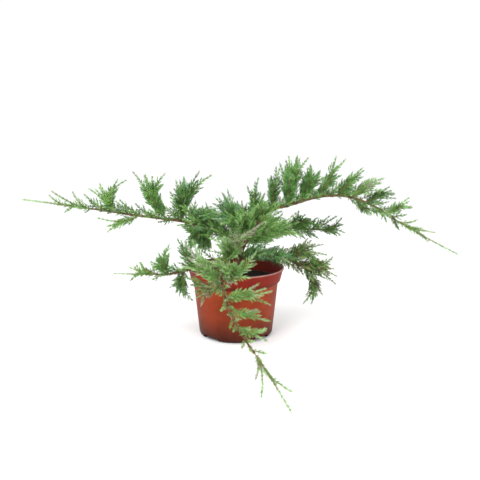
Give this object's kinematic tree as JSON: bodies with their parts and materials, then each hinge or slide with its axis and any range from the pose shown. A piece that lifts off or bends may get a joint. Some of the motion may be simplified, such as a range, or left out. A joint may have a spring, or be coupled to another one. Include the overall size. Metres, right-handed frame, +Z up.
{
  "type": "spreading juniper shrub in a nursery pot",
  "caption": "Young spreading juniper with long arching boughs and feathery plumes, growing from a brown plastic nursery pot that stands on its flat underside",
  "frame": {"origin": "centre of the pot's flat underside, on the surface that the pot stands on", "axes": "+Z up, +X to the right as the picture shows it, -Y toward the viewer"},
  "size_m": [0.9156, 0.6896, 0.3796],
  "materials": {
    "pot": "satin brown red plastic",
    "soil": "dark moist potting mix",
    "bark": "rough brown bark",
    "foliage": "matt scale foliage"
  },
  "bodies": {
    "root": {"bough_back_left": "bark", "bough_back_right": "bark", "bough_front": "bark", "bough_front_outer": "bark", "bough_left_lower": "bark", "bough_left_upper": "bark", "bough_right_back": "bark", "bough_right_lower": "bark", "bough_right_outer": "bark", "bough_right_upper": "bark", "foliage_back_left_low": "foliage", "foliage_back_left_mid": "foliage", "foliage_back_left_tip": "foliage", "foliage_back_right_mid": "foliage", "foliage_back_right_tip": "foliage", "foliage_crown_back": "foliage", "foliage_crown_front": "foliage", "foliage_crown_left": "foliage", "foliage_crown_spire": "foliage", "foliage_front_brush": "foliage", "foliage_front_cover": "foliage", "foliage_front_crown": "foliage", "foliage_front_left_shoot": "foliage", "foliage_front_right_high": "foliage", "foliage_front_right_low": "foliage", "foliage_front_right_mid": "foliage", "foliage_front_tip": "foliage", "foliage_inner_front": "foliage", "foliage_inner_right": "foliage", "foliage_left_close": "foliage", "foliage_left_first": "foliage", "foliage_left_hanging": "foliage", "foliage_left_plume": "foliage", "foliage_left_tall": "foliage", "foliage_left_tip": "foliage", "foliage_left_under": "foliage", "foliage_low_left_clump": "foliage", "foliage_low_left_hanging": "foliage", "foliage_low_left_plume": "foliage", "foliage_low_left_tip": "foliage", "foliage_right_back_mid": "foliage", "foliage_right_back_tip": "foliage", "foliage_right_crest": "foliage", "foliage_right_fifth": "foliage", "foliage_right_fourth": "foliage", "foliage_right_inner": "foliage", "foliage_right_low_outer": "foliage", "foliage_right_low_tip": "foliage", "foliage_right_low_upper": "foliage", "foliage_right_second": "foliage", "foliage_right_shoot": "foliage", "foliage_right_third": "foliage", "foliage_right_tip": "foliage", "foliage_right_top": "foliage", "foliage_right_under": "foliage", "foliage_rim_right": "foliage", "pot": "pot", "soil": "soil", "trunk": "bark"}
  },
  "joints": []
}
